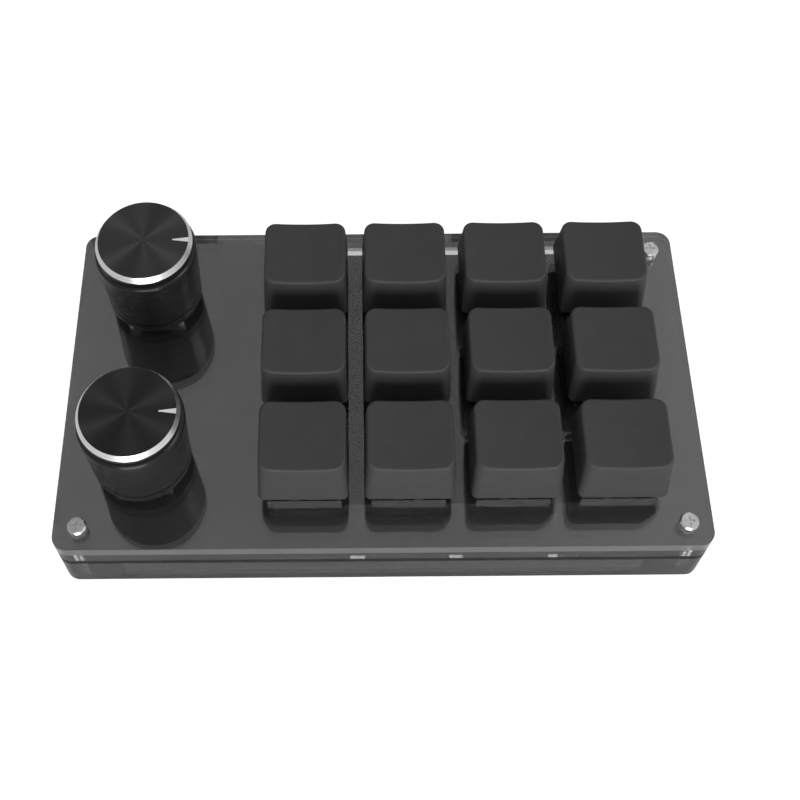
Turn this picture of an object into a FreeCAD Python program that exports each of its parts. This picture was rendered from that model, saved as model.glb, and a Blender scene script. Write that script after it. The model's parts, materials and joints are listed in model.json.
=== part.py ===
import FreeCAD, Part
import math
import os

# Desk macro keypad: a stacked acrylic case with twelve key switches and two push-and-turn knobs.
# Millimetres, +Z up, the back edge towards +Y. The origin is on the desk under the middle of the case.

# Case
case_corner_radius = 3.0
bottom_plate_thickness = 3.0
lower_frame_height = 6.6
board_thickness = 1.6
upper_frame_height = 3.2
top_plate_thickness = 3.0
frame_wall = 2.6
encoder_leg_clearance = 1.0
key_pocket_margin = 0.6
key_pocket_corner_radius = 1.5

# Fasteners and feet
screw_inset = 4.9
screw_shank_radius = 1.0
screw_hole_radius = 1.1
screw_head_radius = 1.95
screw_head_flat_radius = 1.6
screw_head_edge_height = 0.45
screw_head_height = 0.75
top_screw_length = 10.0
bottom_screw_length = 6.4
cross_recess_length = 2.1
cross_recess_width = 0.5
cross_recess_depth = 0.45
spacer_radius = 1.75
spacer_hole_clearance = 0.1
thread_clearance = 0.02
foot_radius = 4.0
foot_height = 1.5
foot_inset_x = 14.0
foot_inset_y = 10.0

# Key field
key_rows = 3
key_columns = 4
key_gap = 3.2
last_column_margin = 18.45
front_row_margin = 17.55
key_travel = 4.0

# Keycap
cap_base_size = 18.1
cap_base_corner_radius = 1.3
cap_width_taper = 0.9
cap_depth_taper = 3.3
cap_top_corner_radius = 2.4
cap_top_shift = 0.2
cap_height = 10.95
cap_lift = 4.45
cap_dish_depth = 0.75
cap_edge_radius = 0.5
cap_wall = 1.3
cap_roof = 2.2
cap_post_radius = 2.75
cap_socket_clearance = 0.03

# Key switch, with heights above the circuit board
switch_body_size = 13.9
switch_flange_rim = 0.5
switch_flange_height = 5.0
switch_flange_thickness = 1.0
switch_flange_chamfer = 0.7
switch_flange_notch_width = 1.9
switch_flange_notch_depth = 0.45
switch_flange_notch_spacing = 3.9
switch_top_height = 11.6
switch_top_rim = 0.05
switch_top_roof_width = 11.4
switch_top_roof_depth = 9.6
switch_roof_thickness = 1.7
switch_floor_thickness = 1.0
switch_cavity_width = 10.8
switch_cavity_depth = 8.2
switch_plate_clearance = 0.1
switch_post_radius = 2.0
switch_post_length = 3.0
switch_post_floor = 0.3
switch_peg_radius = 0.85
switch_peg_offset = 5.08
switch_peg_length = 2.4
solder_hole_clearance = 0.15
contact_leaf_width = 4.0
contact_leaf_height = 4.2
contact_leaf_thickness = 0.4
contact_pin_radius = 0.5
contact_pin_length = 3.3
contact_near_x = -3.81
contact_near_y = 2.54
contact_far_x = 2.54
contact_far_y = 5.08

# Switch stem and spring
stem_block_width = 7.0
stem_block_depth = 5.4
stem_block_top = 11.5
stem_opening_clearance = 0.15
stem_skirt_width = 9.6
stem_skirt_depth = 7.0
stem_skirt_bottom = 5.7
stem_skirt_gap = 0.1
stem_cross_height = 3.6
stem_cross_length = 4.0
stem_cross_arm_x = 1.27
stem_cross_arm_y = 1.11
stem_pole_radius = 1.3
stem_pole_clearance = 0.1
spring_outer_radius = 2.15
spring_inner_radius = 1.55
spring_bore_radius = 2.35
spring_length = 8.0

# Rotary encoder, with heights above the circuit board
encoder_width = 12.0
encoder_depth = 12.0
encoder_height = 6.5
encoder_cutout_clearance = 0.15
encoder_cutout_corner_radius = 0.3
encoder_floor_thickness = 1.0
encoder_roof_thickness = 0.6
encoder_chamber_radius = 5.2
encoder_dome_radius = 2.2
encoder_dome_thickness = 0.2
encoder_push_travel = 0.5
encoder_push_gap = 0.05
encoder_plunger_radius = 2.0
encoder_plunger_height = 0.65
encoder_touch_gap = 0.03
encoder_rotor_radius = 4.9
encoder_rotor_height = 2.0
encoder_rotor_lift = 0.6
shaft_radius = 3.0
shaft_clearance = 0.06
shaft_top_height = 20.0
shaft_flat_length = 7.0
shaft_flat_depth = 1.5
bushing_radius = 3.5
bushing_height = 7.0
encoder_pin_width = 0.9
encoder_pin_thickness = 0.4
encoder_pin_length = 3.2
encoder_pin_pitch = 2.5
encoder_pin_inset = 0.6
encoder_tab_width = 2.0

# Knob, with heights above the top plate
knob_margin_left = 17.2
knob_to_keys = 33.25
front_knob_step = 1.6
rear_knob_step = 1.8
knob_lift = 2.4
knob_bottom_radius = 10.1
knob_bottom_fillet = 0.5
knob_lip_height = 2.4
knob_line_width = 0.35
knob_line_depth = 0.3
knob_body_height = 18.0
knob_widest_radius = 10.75
knob_shoulder_radius = 1.0
knob_groove_height = 0.9
knob_neck_radius = 9.3
knob_ring_radius = 10.1
knob_ring_height = 2.1
knob_ring_side = 0.95
knob_disc_radius = 9.4
knob_disc_thickness = 0.5
knob_disc_clearance = 0.02
knob_bore_radius = 8.3
knob_roof_thickness = 1.6
knob_hub_radius = 4.4
knob_hub_gap = 0.8
knob_core_wall = 0.9
knob_core_web = 1.6
knob_core_inset = 1.5
knob_fit_clearance = 0.03
pointer_inner_radius = 6.0
pointer_inner_width = 0.25
pointer_outer_width = 1.15

# USB-C receptacle and chips
usb_switch_gap = 0.2
usb_width = 8.94
usb_height = 3.1
usb_depth = 7.35
usb_wall = 0.3
usb_corner_radius = 1.2
usb_notch_clearance = 0.2
usb_tongue_width = 6.7
usb_tongue_thickness = 0.7
usb_tongue_length = 4.6
usb_block_depth = 1.6
usb_column = 2
controller_width = 10.0
controller_depth = 6.0
controller_height = 1.6
diode_length = 2.7
diode_width = 1.6
diode_height = 1.1
diode_offset = 8.6

# Sizes that follow from others
key_pitch = cap_base_size + key_gap
cap_top_width = cap_base_size - cap_width_taper
cap_top_depth = cap_base_size - cap_depth_taper
switch_flange_size = switch_body_size + 2 * switch_flange_rim
switch_top_base_size = switch_body_size + 2 * switch_top_rim
back_row_margin = switch_top_base_size / 2 + usb_switch_gap + usb_depth
case_width = knob_margin_left + knob_to_keys + (key_columns - 1) * key_pitch + last_column_margin
case_depth = front_row_margin + (key_rows - 1) * key_pitch + back_row_margin

# One overrun for every cut that passes through a face
overrun = 1.0

# Levels, from the desk up
case_bottom = foot_height
lower_frame_bottom = case_bottom + bottom_plate_thickness
board_bottom = lower_frame_bottom + lower_frame_height
board_top = board_bottom + board_thickness
upper_frame_top = board_top + upper_frame_height
plate_top = upper_frame_top + top_plate_thickness
knob_bottom = plate_top + knob_lift
knob_shoulder = knob_bottom + knob_body_height
knob_ring_seat = knob_shoulder + knob_groove_height
knob_top = knob_ring_seat + knob_ring_height

# Places
right_edge = case_width / 2
back_edge = case_depth / 2
last_column_x = right_edge - last_column_margin
first_column_x = last_column_x - (key_columns - 1) * key_pitch
front_row_y = -back_edge + front_row_margin
back_row_y = back_edge - back_row_margin
knob_x = -right_edge + knob_margin_left
knob_places = {
    "rear": (knob_x, back_row_y - rear_knob_step),
    "front": (knob_x, front_row_y + front_knob_step),
}

os.makedirs("parts", exist_ok=True)


def vector(x, y, z):
    return FreeCAD.Vector(x, y, z)


def key_places():
    """Name and centre of every key, row 1 at the back and column 1 at the left."""
    places = []
    for row in range(1, key_rows + 1):
        for column in range(1, key_columns + 1):
            x = first_column_x + (column - 1) * key_pitch
            y = front_row_y + (key_rows - row) * key_pitch
            places.append(("r%dc%d" % (row, column), x, y))
    return places


def corner_places(inset_x, inset_y):
    """Four places that stand in from the corners of the case."""
    x = right_edge - inset_x
    y = back_edge - inset_y
    return [(-x, -y), (x, -y), (x, y), (-x, y)]


def block(x, y, z, width, depth, height):
    """Box centred on x and y, standing on z."""
    corner = vector(x - width / 2, y - depth / 2, z)
    return Part.makeBox(width, depth, height, corner)


def cylinder(x, y, z, radius, height):
    return Part.makeCylinder(radius, height, vector(x, y, z))


def tube(x, y, z, outer_radius, inner_radius, height):
    outer = cylinder(x, y, z, outer_radius, height)
    bore = cylinder(x, y, z - overrun, inner_radius, height + 2 * overrun)
    return outer.cut(bore)


def rounded_outline(x, y, z, width, depth, radius):
    """Rectangle with round corners, as one closed wire."""
    left = x - width / 2
    right = x + width / 2
    front = y - depth / 2
    back = y + depth / 2
    bulge = radius * (1 - math.sqrt(0.5))
    edges = [
        Part.makeLine(vector(left + radius, front, z), vector(right - radius, front, z)),
        Part.Arc(
            vector(right - radius, front, z),
            vector(right - bulge, front + bulge, z),
            vector(right, front + radius, z),
        ).toShape(),
        Part.makeLine(vector(right, front + radius, z), vector(right, back - radius, z)),
        Part.Arc(
            vector(right, back - radius, z),
            vector(right - bulge, back - bulge, z),
            vector(right - radius, back, z),
        ).toShape(),
        Part.makeLine(vector(right - radius, back, z), vector(left + radius, back, z)),
        Part.Arc(
            vector(left + radius, back, z),
            vector(left + bulge, back - bulge, z),
            vector(left, back - radius, z),
        ).toShape(),
        Part.makeLine(vector(left, back - radius, z), vector(left, front + radius, z)),
        Part.Arc(
            vector(left, front + radius, z),
            vector(left + bulge, front + bulge, z),
            vector(left + radius, front, z),
        ).toShape(),
    ]
    return Part.Wire(edges)


def rounded_block(x, y, z, width, depth, radius, height):
    outline = rounded_outline(x, y, z, width, depth, radius)
    return Part.Face(outline).extrude(vector(0, 0, height))


def revolved(x, y, points):
    """Solid of revolution about the upright line at x, y, from (radius, height) points."""
    corners = [vector(x + radius, y, height) for radius, height in points]
    outline = Part.makePolygon(corners + corners[:1])
    return Part.Face(outline).revolve(vector(x, y, 0), vector(0, 0, 1), 360)


def slab(z, thickness):
    """Full case outline, one layer thick."""
    return rounded_block(0, 0, z, case_width, case_depth, case_corner_radius, thickness)


def cut_corner_holes(layer, z, height, radius):
    for x, y in corner_places(screw_inset, screw_inset):
        layer = layer.cut(cylinder(x, y, z - overrun, radius, height + 2 * overrun))
    return layer


def save(name, solids):
    shape = solids[0] if len(solids) == 1 else Part.makeCompound(solids)
    shape.exportStep("parts/%s.step" % name)
    print(name, len(solids), round(sum(solid.Volume for solid in solids), 2))


# Case layers


def make_bottom_plate():
    plate = slab(case_bottom, bottom_plate_thickness)
    return cut_corner_holes(plate, case_bottom, bottom_plate_thickness, screw_hole_radius)


def lower_frame_end_wall():
    """Solid end of the frame, up to the legs of the encoders."""
    return knob_margin_left - encoder_width / 2 - encoder_leg_clearance


def make_lower_frame():
    frame = slab(lower_frame_bottom, lower_frame_height)
    cavity = rounded_block(
        0,
        0,
        lower_frame_bottom - overrun,
        case_width - 2 * lower_frame_end_wall(),
        case_depth - 2 * frame_wall,
        case_corner_radius,
        lower_frame_height + 2 * overrun,
    )
    hole_radius = spacer_radius + spacer_hole_clearance
    frame = frame.cut(cavity)
    return cut_corner_holes(frame, lower_frame_bottom, lower_frame_height, hole_radius)


def encoder_cutout(x, y, z, height):
    width = encoder_width + 2 * encoder_cutout_clearance
    depth = encoder_depth + 2 * encoder_cutout_clearance
    radius = encoder_cutout_corner_radius
    return rounded_block(x, y, z - overrun, width, depth, radius, height + 2 * overrun)


def usb_place():
    x = first_column_x + (usb_column - 1) * key_pitch
    return x, back_edge - usb_depth / 2


def make_upper_frame():
    """Frame with one pocket close round the switches, open behind them up to the back wall."""
    frame = slab(board_top, upper_frame_height)
    margin = switch_body_size / 2 + key_pocket_margin
    left = first_column_x - margin
    right = last_column_x + margin
    front = front_row_y - margin
    back = back_edge - frame_wall
    pocket = rounded_block(
        (left + right) / 2,
        (front + back) / 2,
        board_top - overrun,
        right - left,
        back - front,
        key_pocket_corner_radius,
        upper_frame_height + 2 * overrun,
    )
    frame = frame.cut(pocket)
    for x, y in knob_places.values():
        frame = frame.cut(encoder_cutout(x, y, board_top, upper_frame_height))
    usb_x, usb_y = usb_place()
    notch = block(
        usb_x,
        usb_y,
        board_top - overrun,
        usb_width + 2 * usb_notch_clearance,
        usb_depth + 2 * overrun,
        upper_frame_height + 2 * overrun,
    )
    frame = frame.cut(notch)
    hole_radius = spacer_radius + spacer_hole_clearance
    return cut_corner_holes(frame, board_top, upper_frame_height, hole_radius)


def make_top_plate():
    plate = slab(upper_frame_top, top_plate_thickness)
    size = switch_flange_size + 2 * switch_plate_clearance
    for name, x, y in key_places():
        hole = block(x, y, upper_frame_top - overrun, size, size, top_plate_thickness + 2 * overrun)
        plate = plate.cut(hole)
    for x, y in knob_places.values():
        plate = plate.cut(encoder_cutout(x, y, upper_frame_top, top_plate_thickness))
    return cut_corner_holes(plate, upper_frame_top, top_plate_thickness, screw_hole_radius)


def make_board():
    board = slab(board_bottom, board_thickness)
    low = board_bottom - overrun
    height = board_thickness + 2 * overrun
    holes = []
    for name, x, y in key_places():
        holes.append(cylinder(x, y, low, switch_post_radius + solder_hole_clearance, height))
        for side in (-1, 1):
            peg_x = x + side * switch_peg_offset
            holes.append(cylinder(peg_x, y, low, switch_peg_radius + solder_hole_clearance, height))
        for pin_x, pin_y in contact_pin_places(x, y):
            radius = contact_pin_radius + solder_hole_clearance
            holes.append(cylinder(pin_x, pin_y, low, radius, height))
    for x, y in knob_places.values():
        for pin_x, pin_y, width, depth in encoder_leg_places(x, y):
            hole_width = width + 2 * solder_hole_clearance
            hole_depth = depth + 2 * solder_hole_clearance
            holes.append(block(pin_x, pin_y, low, hole_width, hole_depth, height))
    board = board.cut(Part.makeCompound(holes))
    return cut_corner_holes(board, board_bottom, board_thickness, screw_hole_radius)


# Fasteners and feet


def make_screw(x, y, head_seat, direction, length):
    """Pan-head screw whose head sits on head_seat; direction is 1 for a head on top."""
    head = revolved(
        x,
        y,
        [
            (0, head_seat),
            (screw_head_radius, head_seat),
            (screw_head_radius, head_seat + direction * screw_head_edge_height),
            (screw_head_flat_radius, head_seat + direction * screw_head_height),
            (0, head_seat + direction * screw_head_height),
        ],
    )
    shank_low = min(head_seat, head_seat - direction * length)
    screw = head.fuse(cylinder(x, y, shank_low, screw_shank_radius, length))
    recess_outer = head_seat + direction * (screw_head_height + overrun)
    recess_inner = head_seat + direction * (screw_head_height - cross_recess_depth)
    recess_low = min(recess_outer, recess_inner)
    recess_height = abs(recess_outer - recess_inner)
    arm = block(x, y, recess_low, cross_recess_length, cross_recess_width, recess_height)
    cross = arm.fuse(block(x, y, recess_low, cross_recess_width, cross_recess_length, recess_height))
    return screw.cut(cross).removeSplitter()


def make_corner_screws():
    places = corner_places(screw_inset, screw_inset)
    return [make_screw(x, y, plate_top, 1, top_screw_length) for x, y in places]


def make_bottom_screws():
    places = corner_places(screw_inset, screw_inset)
    return [make_screw(x, y, case_bottom, -1, bottom_screw_length) for x, y in places]


def make_standoffs():
    """A plain spacer over the board and a threaded standoff under it, at each corner."""
    pieces = []
    for x, y in corner_places(screw_inset, screw_inset):
        thread_radius = screw_shank_radius + thread_clearance
        pieces.append(tube(x, y, board_top, spacer_radius, screw_hole_radius, upper_frame_height))
        pieces.append(tube(x, y, lower_frame_bottom, spacer_radius, thread_radius, lower_frame_height))
    return pieces


def make_feet():
    return [cylinder(x, y, 0, foot_radius, foot_height) for x, y in corner_places(foot_inset_x, foot_inset_y)]


# Key switches


def contact_pin_places(x, y):
    return [(x + contact_near_x, y + contact_near_y), (x + contact_far_x, y + contact_far_y)]


def make_contacts(x, y):
    """Two solder pins, each with a leaf that stands up inside the housing."""
    pieces = []
    floor = board_top + switch_floor_thickness
    leaf_y = y + switch_cavity_depth / 2 - contact_leaf_thickness / 2
    for pin_x, pin_y in contact_pin_places(x, y):
        pin_top = floor
        pin_bottom = board_top - contact_pin_length
        pin = cylinder(pin_x, pin_y, pin_bottom, contact_pin_radius, pin_top - pin_bottom)
        foot_depth = abs(leaf_y - pin_y) + contact_leaf_thickness
        foot = block(
            pin_x,
            (leaf_y + pin_y) / 2,
            floor - contact_leaf_thickness,
            2 * contact_pin_radius,
            foot_depth,
            contact_leaf_thickness,
        )
        leaf = block(
            pin_x,
            leaf_y,
            floor - contact_leaf_thickness,
            contact_leaf_width,
            contact_leaf_thickness,
            contact_leaf_height,
        )
        pieces.append(pin.fuse(foot).fuse(leaf).removeSplitter())
    return pieces


def make_lower_housing(x, y, contacts):
    body = block(x, y, board_top, switch_body_size, switch_body_size, switch_flange_height)
    flange_z = board_top + switch_flange_height
    flange = block(x, y, flange_z, switch_flange_size, switch_flange_size, switch_flange_thickness)
    upright = [edge for edge in flange.Edges if abs(edge.tangentAt(edge.FirstParameter).z) > 0.5]
    flange = flange.makeChamfer(switch_flange_chamfer, upright)
    for front in (-1, 1):
        for side in (-1, 1):
            notch = block(
                x + side * switch_flange_notch_spacing / 2,
                y + front * switch_flange_size / 2,
                flange_z - overrun,
                switch_flange_notch_width,
                2 * switch_flange_notch_depth,
                switch_flange_thickness + 2 * overrun,
            )
            flange = flange.cut(notch)
    post_bottom = board_top - switch_post_length
    housing = body.fuse(flange)
    housing = housing.fuse(cylinder(x, y, post_bottom, switch_post_radius, switch_post_length + overrun))
    for side in (-1, 1):
        peg_x = x + side * switch_peg_offset
        peg_z = board_top - switch_peg_length
        housing = housing.fuse(cylinder(peg_x, y, peg_z, switch_peg_radius, switch_peg_length))
    floor = board_top + switch_floor_thickness
    cavity_height = switch_flange_height + switch_flange_thickness - switch_floor_thickness + overrun
    cavity = block(x, y, floor, switch_cavity_width, switch_cavity_depth, cavity_height)
    pole_floor = post_bottom + switch_post_floor
    pole_radius = stem_pole_radius + stem_pole_clearance
    pole_hole = cylinder(x, y, pole_floor, pole_radius, floor + overrun - pole_floor)
    housing = housing.cut(cavity).cut(pole_hole)
    return housing.cut(Part.makeCompound(contacts)).removeSplitter()


def make_upper_housing(x, y):
    bottom = board_top + switch_flange_height + switch_flange_thickness
    top = board_top + switch_top_height
    base = Part.makePolygon(rectangle_corners(x, y, bottom, switch_top_base_size, switch_top_base_size))
    roof = Part.makePolygon(rectangle_corners(x, y, top, switch_top_roof_width, switch_top_roof_depth))
    housing = Part.makeLoft([base, roof], True)
    ceiling = top - switch_roof_thickness
    cavity = block(
        x,
        y,
        bottom - overrun,
        switch_cavity_width,
        switch_cavity_depth,
        ceiling - bottom + overrun,
    )
    opening = block(
        x,
        y,
        ceiling - overrun,
        stem_block_width + 2 * stem_opening_clearance,
        stem_block_depth + 2 * stem_opening_clearance,
        switch_roof_thickness + 2 * overrun,
    )
    return housing.cut(cavity).cut(opening).removeSplitter()


def rectangle_corners(x, y, z, width, depth):
    """Corners of an upright-facing rectangle, closed for a polygon."""
    left = x - width / 2
    right = x + width / 2
    front = y - depth / 2
    back = y + depth / 2
    return [
        vector(left, front, z),
        vector(right, front, z),
        vector(right, back, z),
        vector(left, back, z),
        vector(left, front, z),
    ]


def stem_cross(x, y, z, height, clearance):
    length = stem_cross_length + 2 * clearance
    arm_x = block(x, y, z, length, stem_cross_arm_x + 2 * clearance, height)
    arm_y = block(x, y, z, stem_cross_arm_y + 2 * clearance, length, height)
    return arm_x.fuse(arm_y).removeSplitter()


def make_stem(x, y):
    ceiling = board_top + switch_top_height - switch_roof_thickness
    skirt_bottom = board_top + stem_skirt_bottom
    skirt_top = ceiling - stem_skirt_gap
    block_top = board_top + stem_block_top
    skirt = block(x, y, skirt_bottom, stem_skirt_width, stem_skirt_depth, skirt_top - skirt_bottom)
    slider = block(x, y, skirt_bottom, stem_block_width, stem_block_depth, block_top - skirt_bottom)
    stem = skirt.fuse(slider)
    spring_top = board_top + switch_floor_thickness + spring_length
    bore_height = spring_top - skirt_bottom + overrun
    stem = stem.cut(cylinder(x, y, skirt_bottom - overrun, spring_bore_radius, bore_height))
    pole_bottom = board_top + stem_skirt_bottom - key_travel
    stem = stem.fuse(cylinder(x, y, pole_bottom, stem_pole_radius, spring_top - pole_bottom + overrun))
    return stem.fuse(stem_cross(x, y, block_top, stem_cross_height, 0)).removeSplitter()


def make_spring(x, y):
    floor = board_top + switch_floor_thickness
    return tube(x, y, floor, spring_outer_radius, spring_inner_radius, spring_length)


def make_keycap(x, y):
    """Hollow cap with a cylindrical dish, hung on the cross of its stem."""
    base_z = plate_top + cap_lift
    top_z = base_z + cap_height
    top_y = y + cap_top_shift
    base = rounded_outline(x, y, base_z, cap_base_size, cap_base_size, cap_base_corner_radius)
    top = rounded_outline(x, top_y, top_z, cap_top_width, cap_top_depth, cap_top_corner_radius)
    cap = Part.makeLoft([base, top], True)
    dish_radius = ((cap_top_width / 2) ** 2 + cap_dish_depth**2) / (2 * cap_dish_depth)
    dish_z = top_z - cap_dish_depth + dish_radius
    dish = Part.makeCylinder(
        dish_radius,
        2 * cap_base_size,
        vector(x, y - cap_base_size, dish_z),
        vector(0, 1, 0),
    )
    cap = cap.cut(dish)
    rim = [edge for edge in cap.Edges if edge.BoundBox.ZMin > top_z - 2 * cap_dish_depth]
    cap = cap.makeFillet(cap_edge_radius, rim)
    ceiling = top_z - cap_roof
    hollow_base = rounded_outline(
        x,
        y,
        base_z - overrun,
        cap_base_size - 2 * cap_wall,
        cap_base_size - 2 * cap_wall,
        cap_base_corner_radius,
    )
    hollow_top = rounded_outline(
        x,
        top_y,
        ceiling,
        cap_top_width - 2 * cap_wall,
        cap_top_depth - 2 * cap_wall,
        cap_base_corner_radius,
    )
    cap = cap.cut(Part.makeLoft([hollow_base, hollow_top], True))
    stem_top = board_top + stem_block_top
    post_bottom = stem_top + cap_socket_clearance
    post = cylinder(x, y, post_bottom, cap_post_radius, ceiling - post_bottom + cap_roof / 2)
    socket_height = stem_cross_height + 2 * cap_socket_clearance
    socket = stem_cross(x, y, stem_top - cap_socket_clearance, socket_height, cap_socket_clearance)
    return cap.fuse(post).cut(socket).removeSplitter()


# Rotary encoders


def encoder_leg_places(x, y):
    """Centre, width and depth of every metal leg under an encoder."""
    legs = []
    front_y = y - encoder_depth / 2 + encoder_pin_inset
    back_y = y + encoder_depth / 2 - encoder_pin_inset
    for step in (-1, 0, 1):
        legs.append((x + step * encoder_pin_pitch, front_y, encoder_pin_width, encoder_pin_thickness))
    for step in (-1, 1):
        legs.append((x + step * encoder_pin_pitch, back_y, encoder_pin_width, encoder_pin_thickness))
    tab_x = encoder_width / 2 - encoder_pin_thickness / 2
    for side in (-1, 1):
        legs.append((x + side * tab_x, y, encoder_pin_thickness, encoder_tab_width))
    return legs


def make_encoder_legs(x, y):
    pieces = []
    for leg_x, leg_y, width, depth in encoder_leg_places(x, y):
        pieces.append(block(leg_x, leg_y, board_top - encoder_pin_length, width, depth, encoder_pin_length))
    floor = board_top + encoder_floor_thickness
    pieces.append(cylinder(x, y, floor, encoder_dome_radius, encoder_dome_thickness))
    return pieces


def make_encoder_case(x, y):
    case = block(x, y, board_top, encoder_width, encoder_depth, encoder_height)
    floor = board_top + encoder_floor_thickness
    ceiling = board_top + encoder_height - encoder_roof_thickness
    chamber = cylinder(x, y, floor, encoder_chamber_radius, ceiling - floor)
    hole_radius = shaft_radius + shaft_clearance
    hole_height = encoder_roof_thickness + 2 * overrun
    hole = cylinder(x, y, ceiling - overrun, hole_radius, hole_height)
    return case.cut(chamber).cut(hole)


def make_bushing(x, y):
    low = board_top + encoder_height
    return tube(x, y, low, bushing_radius, shaft_radius + shaft_clearance, bushing_height)


def plunger_bottom():
    dome_top = board_top + encoder_floor_thickness + encoder_dome_thickness
    return dome_top + encoder_push_travel + encoder_push_gap


def shaft_bottom():
    return plunger_bottom() + encoder_plunger_height + encoder_touch_gap


def make_plunger(x, y):
    return cylinder(x, y, plunger_bottom(), encoder_plunger_radius, encoder_plunger_height)


def d_section(x, y, z, height, clearance):
    """Round shaft section with one flat towards +X."""
    section = cylinder(x, y, z, shaft_radius + clearance, height)
    flat_x = x + shaft_radius - shaft_flat_depth + clearance
    cutter = block(
        flat_x + shaft_radius,
        y,
        z - overrun,
        2 * shaft_radius,
        4 * shaft_radius,
        height + 2 * overrun,
    )
    return section.cut(cutter)


def make_shaft(x, y):
    low = shaft_bottom()
    top = board_top + shaft_top_height
    flat_low = top - shaft_flat_length
    round_part = cylinder(x, y, low, shaft_radius, flat_low - low)
    return round_part.fuse(d_section(x, y, flat_low, shaft_flat_length, 0)).removeSplitter()


def make_rotor(x, y):
    low = shaft_bottom() + encoder_rotor_lift
    return tube(x, y, low, encoder_rotor_radius, shaft_radius, encoder_rotor_height)


# Knobs


def knob_rim(shell, z):
    """The widest round edge of the shell at this height."""
    level = [edge for edge in shell.Edges if abs(edge.BoundBox.Center.z - z) < knob_line_width / 2]
    return [max(level, key=lambda edge: edge.BoundBox.XLength)]


def make_knob_shell(x, y):
    """Body that widens towards its round shoulder, with a groove under the ring's seat."""
    lip_top = knob_bottom + knob_lip_height
    line_top = lip_top + knob_line_width
    shell = revolved(
        x,
        y,
        [
            (0, knob_bottom),
            (knob_bottom_radius, knob_bottom),
            (knob_bottom_radius, lip_top),
            (knob_bottom_radius - knob_line_depth, lip_top),
            (knob_bottom_radius - knob_line_depth, line_top),
            (knob_bottom_radius, line_top),
            (knob_widest_radius, knob_shoulder),
            (knob_neck_radius, knob_shoulder),
            (knob_neck_radius, knob_ring_seat),
            (0, knob_ring_seat),
        ],
    )
    shell = shell.makeFillet(knob_shoulder_radius, knob_rim(shell, knob_shoulder))
    shell = shell.makeFillet(knob_bottom_fillet, knob_rim(shell, knob_bottom))
    ceiling = knob_ring_seat - knob_roof_thickness
    bore = cylinder(x, y, knob_bottom - overrun, knob_bore_radius, ceiling - knob_bottom + overrun)
    return shell.cut(bore)


def make_knob_ring(x, y):
    """Bright cap with a bevelled rim and a recess for the disc."""
    side_top = knob_ring_seat + knob_ring_side
    recess = knob_top - knob_disc_thickness
    recess_radius = knob_disc_radius + knob_disc_clearance
    return revolved(
        x,
        y,
        [
            (0, knob_ring_seat),
            (knob_ring_radius, knob_ring_seat),
            (knob_ring_radius, side_top),
            (recess_radius, knob_top),
            (recess_radius, recess),
            (0, recess),
        ],
    )


def make_knob_pointer(x, y):
    """Tapered bright inlay that runs from the disc's outer part to its edge."""
    low = knob_top - knob_disc_thickness
    inner = x + pointer_inner_radius
    outer = x + knob_disc_radius
    outline = Part.makePolygon(
        [
            vector(inner, y - pointer_inner_width / 2, low),
            vector(outer, y - pointer_outer_width / 2, low),
            vector(outer, y + pointer_outer_width / 2, low),
            vector(inner, y + pointer_inner_width / 2, low),
            vector(inner, y - pointer_inner_width / 2, low),
        ]
    )
    wedge = Part.Face(outline).extrude(vector(0, 0, knob_disc_thickness))
    disc = cylinder(x, y, low, knob_disc_radius, knob_disc_thickness)
    return wedge.common(disc)


def make_knob_disc(x, y):
    low = knob_top - knob_disc_thickness
    disc = cylinder(x, y, low, knob_disc_radius, knob_disc_thickness)
    return disc.cut(make_knob_pointer(x, y))


def make_knob_core(x, y):
    """Moulded insert inside the shell, with a hub that grips the flatted shaft."""
    ceiling = knob_ring_seat - knob_roof_thickness
    wall_low = knob_bottom + knob_core_inset
    outer = knob_bore_radius - knob_fit_clearance
    bushing_top = board_top + encoder_height + bushing_height
    hub_low = bushing_top + encoder_push_travel + knob_hub_gap
    core = tube(x, y, wall_low, outer, outer - knob_core_wall, ceiling - wall_low)
    core = core.fuse(cylinder(x, y, ceiling - knob_core_web, outer, knob_core_web))
    core = core.fuse(cylinder(x, y, hub_low, knob_hub_radius, ceiling - hub_low))
    bore_top = board_top + shaft_top_height + knob_fit_clearance
    bore = d_section(x, y, hub_low - overrun, bore_top - hub_low + overrun, knob_fit_clearance)
    round_top = board_top + shaft_top_height - shaft_flat_length
    entry_radius = shaft_radius + knob_fit_clearance
    entry = cylinder(x, y, hub_low - overrun, entry_radius, round_top - hub_low + overrun)
    core = core.cut(bore)
    if round_top > hub_low:
        core = core.cut(entry)
    return core.removeSplitter()


# USB receptacle and chips


def usb_section(width, height, radius, depth, back_y):
    """Flat-oval bar along Y that ends at back_y, centred on the receptacle."""
    usb_x, usb_y = usb_place()
    middle = board_top + usb_height / 2
    flat = rounded_block(usb_x, 0, 0, width, height, radius, depth)
    flat.rotate(vector(usb_x, 0, 0), vector(1, 0, 0), 90)
    flat.translate(vector(0, back_y, middle))
    return flat


def make_usb_shell():
    shell = usb_section(usb_width, usb_height, usb_corner_radius, usb_depth, back_edge)
    inner_radius = usb_corner_radius - usb_wall
    bore = usb_section(
        usb_width - 2 * usb_wall,
        usb_height - 2 * usb_wall,
        inner_radius,
        usb_depth + 2 * overrun,
        back_edge + overrun,
    )
    return shell.cut(bore)


def make_usb_tongue():
    """Plug of plastic that closes the inner end, with the contact tongue in front of it."""
    usb_x, usb_y = usb_place()
    inner_radius = usb_corner_radius - usb_wall
    inner_end = back_edge - usb_depth
    block_back = inner_end + usb_block_depth
    plug = usb_section(
        usb_width - 2 * usb_wall,
        usb_height - 2 * usb_wall,
        inner_radius,
        usb_block_depth,
        block_back,
    )
    tongue = block(
        usb_x,
        block_back + usb_tongue_length / 2,
        board_top + usb_height / 2 - usb_tongue_thickness / 2,
        usb_tongue_width,
        usb_tongue_length,
        usb_tongue_thickness,
    )
    return plug.fuse(tongue).removeSplitter()


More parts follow.
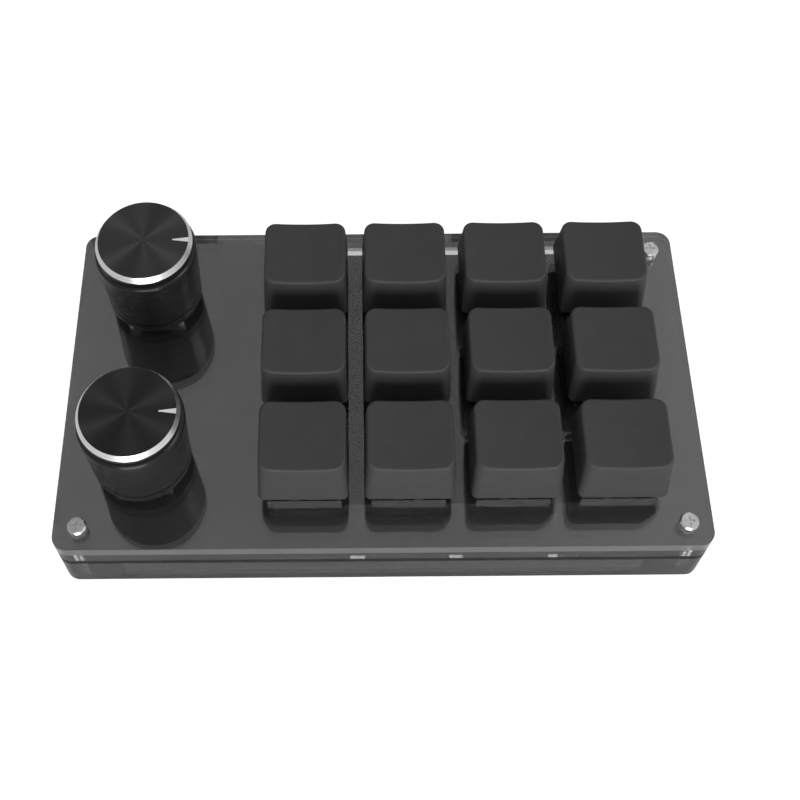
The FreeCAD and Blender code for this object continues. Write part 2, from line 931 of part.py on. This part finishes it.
def make_chips():
    """Controller under the board behind the knobs, and one diode beside each switch."""
    chips = [
        block(
            knob_x + encoder_width,
            0,
            board_bottom - controller_height,
            controller_width,
            controller_depth,
            controller_height,
        )
    ]
    for name, x, y in key_places():
        diode_y = y - diode_offset
        chips.append(block(x, diode_y, board_bottom - diode_height, diode_length, diode_width, diode_height))
    return chips


# Every piece, saved under its own name

save("top_plate", [make_top_plate()])
save("upper_frame", [make_upper_frame()])
save("board", [make_board()])
save("lower_frame", [make_lower_frame()])
save("bottom_plate", [make_bottom_plate()])
save("corner_screws", make_corner_screws())
save("bottom_screws", make_bottom_screws())
save("standoffs", make_standoffs())
save("rubber_feet", make_feet())

key_contacts = []
lower_housings = []
upper_housings = []
springs = []
for key_name, key_x, key_y in key_places():
    pins = make_contacts(key_x, key_y)
    key_contacts.extend(pins)
    lower_housings.append(make_lower_housing(key_x, key_y, pins))
    upper_housings.append(make_upper_housing(key_x, key_y))
    springs.append(make_spring(key_x, key_y))
    save("switch_stem_" + key_name, [make_stem(key_x, key_y)])
    save("keycap_" + key_name, [make_keycap(key_x, key_y)])
save("switch_contacts", key_contacts)
save("switch_lower_housings", lower_housings)
save("switch_upper_housings", upper_housings)
save("switch_springs", springs)

encoder_cases = []
encoder_bushings = []
encoder_terminals = []
for knob_name, (x, y) in knob_places.items():
    encoder_cases.append(make_encoder_case(x, y))
    encoder_bushings.append(make_bushing(x, y))
    encoder_terminals.extend(make_encoder_legs(x, y))
    save("encoder_plunger_" + knob_name, [make_plunger(x, y)])
    save("encoder_shaft_" + knob_name, [make_shaft(x, y)])
    save("encoder_rotor_" + knob_name, [make_rotor(x, y)])
    save("knob_core_" + knob_name, [make_knob_core(x, y)])
    save("knob_shell_" + knob_name, [make_knob_shell(x, y)])
    save("knob_ring_" + knob_name, [make_knob_ring(x, y)])
    save("knob_disc_" + knob_name, [make_knob_disc(x, y)])
    save("knob_pointer_" + knob_name, [make_knob_pointer(x, y)])
save("encoder_cases", encoder_cases)
save("encoder_bushings", encoder_bushings)
save("encoder_terminals", encoder_terminals)

save("usb_shell", [make_usb_shell()])
save("usb_tongue", [make_usb_tongue()])
save("circuit_chips", make_chips())
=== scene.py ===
import bmesh
import bpy
import json
import math
from mathutils import Euler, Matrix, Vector


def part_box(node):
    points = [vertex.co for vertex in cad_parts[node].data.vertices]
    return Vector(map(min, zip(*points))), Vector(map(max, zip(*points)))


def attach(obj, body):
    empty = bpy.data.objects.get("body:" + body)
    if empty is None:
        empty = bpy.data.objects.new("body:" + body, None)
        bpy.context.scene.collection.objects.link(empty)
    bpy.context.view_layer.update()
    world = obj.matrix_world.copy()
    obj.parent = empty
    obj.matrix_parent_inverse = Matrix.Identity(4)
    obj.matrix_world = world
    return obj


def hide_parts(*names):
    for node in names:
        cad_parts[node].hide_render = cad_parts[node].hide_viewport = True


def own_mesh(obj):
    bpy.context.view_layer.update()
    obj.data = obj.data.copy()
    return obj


# The desk macro keypad in its finishes, in metres, in the frame of its solids.

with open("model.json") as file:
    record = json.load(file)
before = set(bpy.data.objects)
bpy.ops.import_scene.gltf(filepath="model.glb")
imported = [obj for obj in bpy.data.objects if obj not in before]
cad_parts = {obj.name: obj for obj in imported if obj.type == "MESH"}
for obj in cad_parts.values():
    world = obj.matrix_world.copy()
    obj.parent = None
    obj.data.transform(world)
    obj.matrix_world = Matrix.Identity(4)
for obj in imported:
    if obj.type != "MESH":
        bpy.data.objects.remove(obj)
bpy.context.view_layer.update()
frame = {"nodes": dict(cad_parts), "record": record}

# Camera, at the photograph's angle
image_size = 800.0
sensor_width = 36.0
camera_focal_length = 1339.67
camera_centre_right = 359.32
camera_centre_down = 260.91
camera_place = (-0.005269, -0.130744, 0.275049)
camera_pitch = 1.01003
camera_yaw = -0.00584
camera_roll = -0.00233
nearest_view = 0.01
furthest_view = 10.0

# Studio
floor_size = 3.0
floor_colour = (0.7, 0.7, 0.7, 1.0)
floor_glow = 0.75
mirrored_glow = 0.03
sky_strength = 0.32
lamp_distance = 0.9
left_lamp_direction = (-0.69, 0.13, 0.71)
left_lamp_size = 0.15
left_lamp_power = 0.6
right_lamp_direction = (0.66, -0.08, 0.75)
right_lamp_size = 0.28
right_lamp_power = 1.7
front_lamp_direction = (0.0, -0.94, 0.34)
front_lamp_size = 0.6
front_lamp_power = 7.0

# How bright the sky is in reflections, by how far it lies to the right
mirrored_sky = ((-0.2, 0.39), (-0.1, 0.28), (0.08, 0.29), (0.14, 0.44), (0.22, 0.65))

# Shapes of the case layers
weld_distance = 1e-6
film_thickness = 0.00002
flat_angle = math.radians(1)
sharp_angle = math.radians(25)
flat_limit = 0.99
outline_reach = 0.001

# Patterns: soft noise lies mostly between these two values
noise_low = 0.3
noise_high = 0.7

# Smoked sheet, with how much light each metre of it takes up
acrylic_index = 1.49
acrylic_coat_index = 1.5
acrylic_coat_roughness = 0.02
plate_clearness = 0.986
smear_size = 0.02
smear_roughness = 0.03
wave_size = 0.015
wave_height = 0.0000006
plate_density = 120.0
upper_density = 25.0
lower_density = 320.0

# Plastics and metals
satin_index = 1.45
satin_specular = 0.3
plastic_index = 1.5
clear_plastic_index = 1.58
board_specular = 0.12
tracks_per_metre = 280.0
track_edge = (0.35, 0.45)
track_height = 0.00002
keycap_relief = 0.000006
knob_relief = 0.0000001
metal_relief = 0.000002
moulded_relief = 0.000004
clear_relief = 0.000003

# Springs of the keys
spring_radius = 0.00185
spring_wire_radius = 0.0002
spring_turns = 10
spring_steps = 16
spring_sides = 6

# Knobs, with how far back the front and the rear one stand; the spun face is painted lighter from
# the front one to the rear one, as painted light
knob_rows = (-0.018, 0.021)
upright_limit = 0.1
quarter_turn = 1 / 4


def make_camera():
    """The camera of the photograph, whose picture is a part of a wider one."""
    data = bpy.data.cameras.new("photo_camera")
    data.sensor_width = sensor_width
    data.lens = camera_focal_length / image_size * sensor_width
    data.shift_x = 1 / 2 - camera_centre_right / image_size
    data.shift_y = camera_centre_down / image_size - 1 / 2
    data.clip_start = nearest_view
    data.clip_end = furthest_view
    camera = bpy.data.objects.new("photo_camera", data)
    camera.location = camera_place
    turn = Euler((math.pi / 2 - camera_pitch, 0, camera_yaw), "XYZ").to_matrix()
    roll = Euler((0, 0, camera_roll), "XYZ").to_matrix()
    camera.rotation_euler = (turn @ roll).to_euler()
    bpy.context.scene.collection.objects.link(camera)
    bpy.context.scene.camera = camera


# Building blocks of the finishes


def finish(name, values):
    """A material whose shader has these values, by the names of its sockets."""
    material = bpy.data.materials.new(name)
    material.use_nodes = True
    for socket, value in values.items():
        shader(material).inputs[socket].default_value = value
    return material


def shader(material):
    return material.node_tree.nodes["Principled BSDF"]


def add(material, kind, **settings):
    node = material.node_tree.nodes.new(kind)
    for name, value in settings.items():
        setattr(node, name, value)
    return node


def join(material, source, target):
    material.node_tree.links.new(source, target)


def place(material, stretch=(1, 1, 1)):
    """The place on the piece in metres, stretched along each axis."""
    coordinates = add(material, "ShaderNodeTexCoord")
    mapping = add(material, "ShaderNodeMapping")
    mapping.inputs["Scale"].default_value = stretch
    join(material, coordinates.outputs["Object"], mapping.inputs["Vector"])
    return mapping.outputs["Vector"]


def grain(material, size, detail=2.0, stretch=(1, 1, 1)):
    """Soft noise from 0 to 1, with spots of about this size."""
    noise = add(material, "ShaderNodeTexNoise")
    noise.inputs["Scale"].default_value = 1 / size
    noise.inputs["Detail"].default_value = detail
    join(material, place(material, stretch), noise.inputs["Vector"])
    return noise.outputs["Fac"]


def from_axis(material):
    """The distance from the piece's upright axis, 1/2 at the rim of a round piece."""
    coordinates = add(material, "ShaderNodeTexCoord")
    middle = add(material, "ShaderNodeVectorMath", operation="SUBTRACT")
    middle.inputs[1].default_value = (1 / 2, 1 / 2, 1 / 2)
    flat = add(material, "ShaderNodeVectorMath", operation="MULTIPLY")
    flat.inputs[1].default_value = (1, 1, 0)
    length = add(material, "ShaderNodeVectorMath", operation="LENGTH")
    join(material, coordinates.outputs["Generated"], middle.inputs[0])
    join(material, middle.outputs["Vector"], flat.inputs[0])
    join(material, flat.outputs["Vector"], length.inputs[0])
    return length.outputs["Value"]


def turned_rings(material, count):
    """Uneven turning marks round the piece's axis, from 0 to 1."""
    noise = add(material, "ShaderNodeTexNoise", noise_dimensions="1D")
    noise.inputs["Scale"].default_value = count
    noise.inputs["Detail"].default_value = 3.0
    join(material, from_axis(material), noise.inputs["W"])
    return noise.outputs["Fac"]


def spread(material, value, low, high, start=noise_low, end=noise_high):
    """The value, with start to end taken to low to high."""
    scale = add(material, "ShaderNodeMapRange")
    scale.inputs["From Min"].default_value = start
    scale.inputs["From Max"].default_value = end
    scale.inputs["To Min"].default_value = low
    scale.inputs["To Max"].default_value = high
    join(material, value, scale.inputs["Value"])
    return scale.outputs["Result"]


def vary(material, socket, value, low, high):
    """Lets a number of the shader follow a pattern."""
    join(material, spread(material, value, low, high), shader(material).inputs[socket])


def tint(material, value, dark, light, start=noise_low, end=noise_high):
    """Lets the colour follow a pattern, from dark at start to light at end."""
    mix = add(material, "ShaderNodeMix", data_type="RGBA")
    mix.inputs["A"].default_value = (*dark, 1)
    mix.inputs["B"].default_value = (*light, 1)
    join(material, spread(material, value, 0, 1, start, end), mix.inputs["Factor"])
    join(material, mix.outputs["Result"], shader(material).inputs["Base Color"])


def relief(material, height, depth):
    """Raises the surface by a pattern whose full height is depth metres."""
    bump = add(material, "ShaderNodeBump")
    bump.inputs["Strength"].default_value = 1.0
    bump.inputs["Distance"].default_value = depth
    join(material, height, bump.inputs["Height"])
    join(material, bump.outputs["Normal"], shader(material).inputs["Normal"])


def round_tangent(material):
    """Turns the sheen round the piece's upright axis, as on a turned face."""
    tangent = add(material, "ShaderNodeTangent", direction_type="RADIAL", axis="Z")
    join(material, tangent.outputs["Tangent"], shader(material).inputs["Tangent"])


# Finishes


def acrylic(name, clear, coat, density):
    """Polished cast sheet, dark grey through its depth, faintly wavy and smeared."""
    material = finish(
        name,
        {
            "Base Color": (1, 1, 1, 1),
            "IOR": acrylic_index,
            "Transmission Weight": clear,
            "Coat Weight": coat,
            "Coat Roughness": acrylic_coat_roughness,
            "Coat IOR": acrylic_coat_index,
        },
    )
    vary(material, "Roughness", grain(material, smear_size), 0.0, smear_roughness)
    relief(material, grain(material, wave_size), wave_height)
    depth = add(material, "ShaderNodeVolumeAbsorption")
    depth.inputs["Color"].default_value = (0.0, 0.0, 0.0, 1.0)
    depth.inputs["Density"].default_value = density
    output = material.node_tree.nodes["Material Output"]
    join(material, depth.outputs["Volume"], output.inputs["Volume"])
    return material


def keycap_plastic():
    """Fine-grained dark grey moulding."""
    values = {"IOR": satin_index, "Specular IOR Level": satin_specular}
    material = finish("keycap_plastic", values)
    tint(material, grain(material, 0.004), (0.045, 0.045, 0.0453), (0.049, 0.049, 0.0493))
    vary(material, "Roughness", grain(material, 0.0015), 0.5, 0.6)
    relief(material, grain(material, 0.00015), keycap_relief)
    return material


def knob_black():
    """Satin black anodised aluminium with fine turning marks round it."""
    material = finish(
        "knob_black",
        {
            "IOR": satin_index,
            "Specular IOR Level": satin_specular,
            "Anisotropic": 0.7,
            "Anisotropic Rotation": quarter_turn,
        },
    )
    tint(material, grain(material, 0.003), (0.012, 0.012, 0.0127), (0.015, 0.015, 0.0158))
    vary(material, "Roughness", grain(material, 0.0008, stretch=(0.05, 0.05, 1)), 0.24, 0.28)
    relief(material, grain(material, 0.0001, stretch=(0.02, 0.02, 1)), knob_relief)
    round_tangent(material)
    return material


def knob_spun_black():
    """Black anodised face, spun so that light draws wedges on it, and painted lighter on the rear
    knob than on the front one as painted light.
    """
    values = {"Metallic": 1.0, "Anisotropic": 0.92, "Anisotropic Rotation": quarter_turn}
    material = finish("knob_spun_black", values)
    parts = add(material, "ShaderNodeSeparateXYZ")
    join(material, place(material), parts.inputs["Vector"])
    front, rear = knob_rows
    # Painted light: the spun face is painted lighter towards the rear knob
    tint(material, parts.outputs["Y"], (0.047, 0.047, 0.0498), (0.085, 0.085, 0.089), front, rear)
    vary(material, "Roughness", turned_rings(material, 90), 0.34, 0.42)
    round_tangent(material)
    return material


def knob_bright():
    """Diamond-cut bright aluminium."""
    material = finish("knob_bright", {"Metallic": 1.0})
    tint(material, grain(material, 0.002), (0.88, 0.88, 0.89), (0.93, 0.93, 0.94))
    vary(material, "Roughness", turned_rings(material, 200), 0.24, 0.32)
    return material


def metal(name, dark, light, low, high, size=0.0008):
    """Bare metal with faint scratches and spots."""
    material = finish(name, {"Metallic": 1.0})
    tint(material, grain(material, 4 * size), dark, light)
    vary(material, "Roughness", grain(material, size, detail=4.0), low, high)
    relief(material, grain(material, size / 4), metal_relief)
    return material


def moulded(name, dark, light, low, high, size=0.001):
    """A plain moulding with a faint grain."""
    material = finish(name, {"IOR": plastic_index})
    tint(material, grain(material, 3 * size), dark, light)
    vary(material, "Roughness", grain(material, size), low, high)
    relief(material, grain(material, size / 5), moulded_relief)
    return material


def switch_clear():
    """Clear polycarbonate, a little frosted."""
    material = finish(
        "switch_clear",
        {
            "Base Color": (0.85, 0.85, 0.86, 1),
            "IOR": clear_plastic_index,
            "Transmission Weight": 1.0,
        },
    )
    vary(material, "Roughness", grain(material, 0.001), 0.12, 0.25)
    relief(material, grain(material, 0.0004), clear_relief)
    return material


def circuit_board():
    """Black solder mask with tracks faintly raised under it."""
    values = {"IOR": plastic_index, "Specular IOR Level": board_specular}
    material = finish("circuit_board", values)
    tracks = add(material, "ShaderNodeTexVoronoi", distance="MANHATTAN", feature="F1")
    tracks.inputs["Scale"].default_value = tracks_per_metre
    join(material, place(material, (1, 1, 0)), tracks.inputs["Vector"])
    lines = spread(material, tracks.outputs["Distance"], 0, 1, *track_edge)
    tint(material, lines, (0.006, 0.007, 0.007), (0.010, 0.012, 0.012))
    vary(material, "Roughness", grain(material, 0.003), 0.45, 0.55)
    relief(material, lines, track_height)
    return material


def make_finishes():
    """One finish for each material slot of the record."""
    return {
        "coated_acrylic": acrylic("coated_acrylic", plate_clearness, 1.0, plate_density),
        "cut_acrylic": acrylic("cut_acrylic", 1.0, 0.0, plate_density),
        "smoked_acrylic": acrylic("smoked_acrylic", 1.0, 0.0, lower_density),
        "clearer_acrylic": acrylic("clearer_acrylic", 1.0, 0.0, upper_density),
        # The walls of the top plate's openings are painted dark, a painted shade where clear cut
        # walls would let light through
        "painted_shade_wall": moulded("painted_shade_wall", (0.01,) * 3, (0.02,) * 3, 0.6, 0.8),
        "circuit_board": circuit_board(),
        "screw_steel": metal("screw_steel", (0.66, 0.66, 0.67), (0.78, 0.78, 0.79), 0.2, 0.32),
        "standoff_metal": metal("standoff_metal", (0.86, 0.86, 0.86), (0.92, 0.92, 0.92), 0.3, 0.4),
        "foot_rubber": moulded("foot_rubber", (0.012,) * 3, (0.018,) * 3, 0.7, 0.85),
        "keycap_plastic": keycap_plastic(),
        "stem_plastic": moulded("stem_plastic", (0.42, 0.1, 0.025), (0.5, 0.12, 0.03), 0.35, 0.45),
        "contact_metal": metal("contact_metal", (0.62, 0.47, 0.3), (0.72, 0.56, 0.38), 0.2, 0.35),
        "switch_black": moulded("switch_black", (0.012,) * 3, (0.016,) * 3, 0.35, 0.45),
        "switch_clear": switch_clear(),
        "spring_steel": metal("spring_steel", (0.55, 0.55, 0.56), (0.65, 0.65, 0.66), 0.2, 0.3),
        "knob_black": knob_black(),
        "knob_bright": knob_bright(),
        "knob_spun_black": knob_spun_black(),
        # The knob pointers are painted white, a painted highlight in place of the bright cut line's
        # reflection
        "pointer_white": moulded("pointer_white", (0.72,) * 3, (0.78,) * 3, 0.35, 0.45),
        "moulded_black": moulded("moulded_black", (0.014,) * 3, (0.019,) * 3, 0.4, 0.55),
        "shaft_metal": metal("shaft_metal", (0.6, 0.6, 0.61), (0.7, 0.7, 0.71), 0.2, 0.3),
        # The encoder's metal is painted dark as painted shade under the knob; the bare metal is
        # bright
        "encoder_metal": metal("encoder_metal", (0.11, 0.11, 0.11), (0.15, 0.15, 0.15), 0.35, 0.5),
    }


def give_finishes(finishes):
    """Every solid gets the finish of its slot in the record, but the knob pointers get a painted
    white, a painted highlight.
    """
    for part in frame["record"]["subparts"]:
        slots = frame["nodes"][part["node"]].data.materials
        slots.clear()
        slots.append(finishes[part["material_slot"]])
    for side in ("front", "rear"):
        # Painted highlight: the knob pointers are painted white
        frame["nodes"]["knob_pointer_" + side].data.materials[0] = finishes["pointer_white"]


# Pieces


def link(name, mesh, body, slot_name, finishes):
    """A new piece of the object, on this body and in the finish of this slot."""
    piece = bpy.data.objects.new(name, mesh)
    bpy.context.scene.collection.objects.link(piece)
    mesh.materials.clear()
    mesh.materials.append(finishes[slot_name])
    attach(piece, body)
    return piece


def by_outline(point, low, high):
    """Whether a point of a sheet lies near its outer edge."""
    return any(
        min(point[axis] - low[axis], high[axis] - point[axis]) < outline_reach
        for axis in (0, 1)
    )


def make_case_layer(node_name, slot_name, face_name, edge_name, hole_name, finishes):
    """A sheet of the case, with a film of air between it and its neighbours.

    Its level faces, its outer edges and the walls of its openings have a finish each.
    """
    mesh = bmesh.new()
    mesh.from_mesh(frame["nodes"][node_name].data)
    bmesh.ops.remove_doubles(mesh, verts=mesh.verts, dist=weld_distance)
    bmesh.ops.dissolve_limit(
        mesh, angle_limit=flat_angle, verts=mesh.verts, edges=mesh.edges
    )
    low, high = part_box(node_name)
    middle = (low.z + high.z) / 2
    share = 1 - 2 * film_thickness / (high.z - low.z)
    for vertex in mesh.verts:
        vertex.co.z = middle + (vertex.co.z - middle) * share
    for face in mesh.faces:
        upright = abs(face.normal.z) < flat_limit
        face.smooth = upright
        if upright:
            face.material_index = 1 if by_outline(face.calc_center_median(), low, high) else 2
    data = bpy.data.meshes.new("case_" + node_name)
    mesh.to_mesh(data)
    mesh.free()
    data.set_sharp_from_angle(angle=sharp_angle)
    piece = link("case_" + node_name, data, "case", slot_name, finishes)
    data.materials[0] = finishes[face_name]
    data.materials.append(finishes[edge_name])
    data.materials.append(finishes[hole_name])
    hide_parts(node_name)


def make_knob_ring(side, finishes):
    """The knob's ring, bright on its cut bevel and black round its upright side."""
    node_name = "knob_ring_" + side
    data = frame["nodes"][node_name].data.copy()
    piece = link("cut_" + node_name, data, "knob_" + side, "knob_bright", finishes)
    data.materials.append(finishes["knob_black"])
    for face in data.polygons:
        face.material_index = int(abs(face.normal.z) < upright_limit)
    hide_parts(node_name)


def make_coil(name, foot, height):
    """A wire wound upwards round the upright axis through its foot."""
    mesh = bmesh.new()
    up = Vector((0, 0, 1))
    rings = []
    count = spring_turns * spring_steps
    for step in range(count + 1):
        turn = 2 * math.pi * step / spring_steps
        out = Vector((math.cos(turn), math.sin(turn), 0))
        rise = spring_wire_radius + (height - 2 * spring_wire_radius) * step / count
        middle = foot + out * spring_radius + up * rise
        ring = []
        for side in range(spring_sides):
            angle = 2 * math.pi * side / spring_sides
            across = out * math.cos(angle) + up * math.sin(angle)
            ring.append(mesh.verts.new(middle + across * spring_wire_radius))
        rings.append(ring)
    for ring, following in zip(rings, rings[1:]):
        for side in range(spring_sides):
            other = (side + 1) % spring_sides
            mesh.faces.new((ring[side], following[side], following[other], ring[other]))
    for face in mesh.faces:
        face.smooth = True
    mesh.faces.new(rings[0])
    mesh.faces.new(rings[-1])
    bmesh.ops.recalc_face_normals(mesh, faces=mesh.faces)
    data = bpy.data.meshes.new(name)
    mesh.to_mesh(data)
    mesh.free()
    return data


def make_springs(finishes):
    """A coil spring in each key's switch, round the middle of its stem."""
    low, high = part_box("switch_springs")
    height = high.z - low.z
    for joint in frame["record"]["behaviour"]["joints"]:
        if not joint["child"].startswith("key_"):
            continue
        key = joint["child"].removeprefix("key_")
        stem_low, stem_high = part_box("switch_stem_" + key)
        foot = (stem_low + stem_high) / 2
        foot.z = low.z
        name = "spring_" + key
        piece = link(name, make_coil(name, foot, height), "case", "spring_steel", finishes)
        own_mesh(piece)
        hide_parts("switch_springs")


def make_pieces(finishes):
    coated, cut, shaded_wall = "coated_acrylic", "cut_acrylic", "painted_shade_wall"
    clear, smoked = "clearer_acrylic", "smoked_acrylic"
    # The top plate's opening walls get the painted shade finish
    make_case_layer("top_plate", coated, coated, cut, shaded_wall, finishes)
    make_case_layer("upper_frame", smoked, clear, clear, clear, finishes)
    for node_name in ("lower_frame", "bottom_plate"):
        make_case_layer(node_name, smoked, smoked, smoked, smoked, finishes)
    make_springs(finishes)
    for side in ("front", "rear"):
        make_knob_ring(side, finishes)


# Studio


def choose(tree, kind, seen, other):
    """The first strength for rays of this kind, and the other one for the rest."""
    mix = tree.nodes.new("ShaderNodeMix")
    path = tree.nodes.new("ShaderNodeLightPath")
    tree.links.new(path.outputs[kind], mix.inputs["Factor"])
    for socket, strength in (("A", other), ("B", seen)):
        if isinstance(strength, float):
            mix.inputs[socket].default_value = strength
        else:
            tree.links.new(strength, mix.inputs[socket])
    return mix.outputs["Result"]


def seen_strength(tree, camera, glass, mirror, light):
    """One strength for the camera itself, one through glass, one in a mirror and one as light."""
    strength = choose(tree, "Is Glossy Ray", mirror, light)
    strength = choose(tree, "Is Transmission Ray", glass, strength)
    return choose(tree, "Is Camera Ray", camera, strength)


def make_floor():
    """A wide pale floor that keeps the object's shadow."""
    half = floor_size / 2
    data = bpy.data.meshes.new("studio_floor")
    corners = [(-half, -half, 0), (half, -half, 0), (half, half, 0), (-half, half, 0)]
    data.from_pydata(corners, [], [(0, 1, 2, 3)])
    floor = bpy.data.objects.new("studio_floor", data)
    bpy.context.scene.collection.objects.link(floor)
    material = finish("studio_floor", {"Base Color": floor_colour, "Roughness": 1.0})
    shader(material).inputs["Specular IOR Level"].default_value = 0.0
    shader(material).inputs["Emission Color"].default_value = (1, 1, 1, 1)
    glow = seen_strength(material.node_tree, floor_glow, mirrored_glow, mirrored_glow, 0.0)
    join(material, glow, shader(material).inputs["Emission Strength"])
    data.materials.append(material)


def mirrored_strength(tree):
    """How bright the sky is where a surface mirrors it, by its place from left to right."""
    left, right = mirrored_sky[0][0], mirrored_sky[-1][0]
    coordinates = tree.nodes.new("ShaderNodeTexCoord")
    parts = tree.nodes.new("ShaderNodeSeparateXYZ")
    across = tree.nodes.new("ShaderNodeMapRange")
    across.inputs["From Min"].default_value = left
    across.inputs["From Max"].default_value = right
    ramp = tree.nodes.new("ShaderNodeValToRGB")
    stops = ramp.color_ramp.elements
    while len(stops) < len(mirrored_sky):
        stops.new(1.0)
    for stop, (side, strength) in zip(stops, mirrored_sky):
        stop.position = (side - left) / (right - left)
        stop.color = (strength, strength, strength, 1)
    tree.links.new(coordinates.outputs["Generated"], parts.inputs["Vector"])
    tree.links.new(parts.outputs["X"], across.inputs["Value"])
    tree.links.new(across.outputs["Result"], ramp.inputs["Fac"])
    return ramp.outputs["Color"]


def make_sky():
    """White for the camera, uneven white in reflections, and a plain soft light on the object."""
    world = bpy.data.worlds.new("studio_sky")
    world.use_nodes = True
    bpy.context.scene.world = world
    tree = world.node_tree
    strength = seen_strength(tree, 1.0, 1.0, mirrored_strength(tree), sky_strength)
    background = tree.nodes["Background"]
    background.inputs["Color"].default_value = (1, 1, 1, 1)
    tree.links.new(strength, background.inputs["Strength"])


def make_lamp(name, direction, size, power):
    """A soft square lamp that faces the object."""
    data = bpy.data.lights.new(name, "AREA")
    data.shape = "SQUARE"
    data.size = size
    data.energy = power
    lamp = bpy.data.objects.new(name, data)
    direction = Vector(direction).normalized()
    lamp.location = direction * lamp_distance
    lamp.rotation_euler = direction.to_track_quat("Z", "Y").to_euler()
    bpy.context.scene.collection.objects.link(lamp)


def make_studio():
    make_floor()
    make_sky()
    make_lamp("left_softbox", left_lamp_direction, left_lamp_size, left_lamp_power)
    make_lamp("right_softbox", right_lamp_direction, right_lamp_size, right_lamp_power)
    make_lamp("front_softbox", front_lamp_direction, front_lamp_size, front_lamp_power)
    bpy.context.scene.view_settings.view_transform = "Standard"


make_camera()
finishes = make_finishes()
give_finishes(finishes)
make_pieces(finishes)
make_studio()
